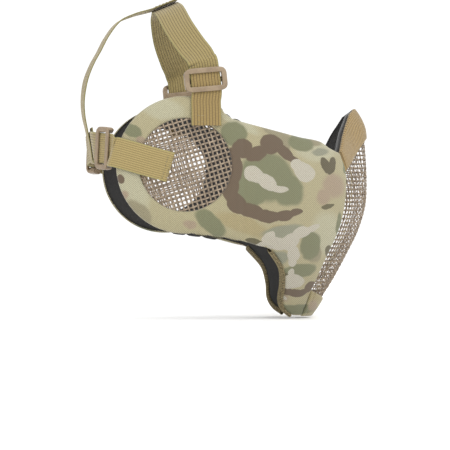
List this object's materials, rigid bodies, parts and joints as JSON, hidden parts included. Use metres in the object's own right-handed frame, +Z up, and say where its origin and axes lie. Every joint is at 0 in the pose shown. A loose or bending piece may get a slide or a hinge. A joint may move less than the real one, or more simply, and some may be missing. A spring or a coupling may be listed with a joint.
{
  "type": "half face mask",
  "caption": "Padded camouflage half face mask with a woven wire muzzle, round ear covers with domed wire discs and an elastic head harness with sliders.",
  "frame": {"origin": "seat of the wearer's head, midway between the centres of the two ear discs", "axes": "+Z up, -Y the way the wearer faces, -X the wearer's right"},
  "size_m": [0.1714, 0.2263, 0.249],
  "materials": {
    "camo_fabric": "matt twill, printed camouflage",
    "lining": "matt brushed lining over foam",
    "webbing": "ribbed elastic webbing",
    "binding": "ribbed woven tape",
    "edge_thread": "overlocked edge",
    "wire": "satin paint on woven steel wire",
    "slider_plastic": "moulded, slightly glossy"
  },
  "bodies": {
    "mask": {"front_mesh": "wire", "nose_binding": "binding", "nose_pad": "lining", "chin_cover": "camo_fabric", "chin_pad": "lining", "crown_strap": "webbing", "rear_strap": "webbing", "spine_strap": "webbing", "cheek_cover_right": "camo_fabric", "cheek_cover_left": "camo_fabric", "cheek_pad_right": "lining", "cheek_pad_left": "lining", "jaw_binding_right": "edge_thread", "jaw_binding_left": "edge_thread"},
    "ear_right": {"ear_cover_right": "camo_fabric", "ear_pad_right": "lining", "ear_mesh_right": "wire", "top_tab_right": "webbing", "rear_tab_right": "webbing", "crown_strap_end_right": "webbing", "rear_strap_end_right": "webbing"},
    "top_slider_right": {"top_slider_right": "slider_plastic"},
    "rear_slider_right": {"rear_slider_right": "slider_plastic"},
    "ear_left": {"ear_cover_left": "camo_fabric", "ear_pad_left": "lining", "ear_mesh_left": "wire", "top_tab_left": "webbing", "rear_tab_left": "webbing", "crown_strap_end_left": "webbing", "rear_strap_end_left": "webbing"},
    "top_slider_left": {"top_slider_left": "slider_plastic"},
    "rear_slider_left": {"rear_slider_left": "slider_plastic"}
  },
  "joints": [
    {"name": "ear_right_swing", "type": "hinge", "parent": "mask", "child": "ear_right", "pos_m": [-0.0759, -0.044, 0], "axis": [0, 0, 1], "range_deg": [0, 20], "stiffness_Nm_per_rad": 0.05},
    {"name": "top_slider_right_slide", "type": "slide", "parent": "ear_right", "child": "top_slider_right", "axis": [0.0449, 0.0598, 0.9972], "range_m": [0, 0.003]},
    {"name": "rear_slider_right_slide", "type": "slide", "parent": "ear_right", "child": "rear_slider_right", "axis": [0.8837, 0.4593, 0.0899], "range_m": [0, 0.003]},
    {"name": "ear_left_swing", "type": "hinge", "parent": "mask", "child": "ear_left", "pos_m": [0.0759, -0.044, 0], "axis": [0, 0, -1], "range_deg": [0, 20], "stiffness_Nm_per_rad": 0.05},
    {"name": "top_slider_left_slide", "type": "slide", "parent": "ear_left", "child": "top_slider_left", "axis": [-0.0449, 0.0598, 0.9972], "range_m": [0, 0.003]},
    {"name": "rear_slider_left_slide", "type": "slide", "parent": "ear_left", "child": "rear_slider_left", "axis": [-0.8837, 0.4593, 0.0899], "range_m": [0, 0.003]}
  ]
}
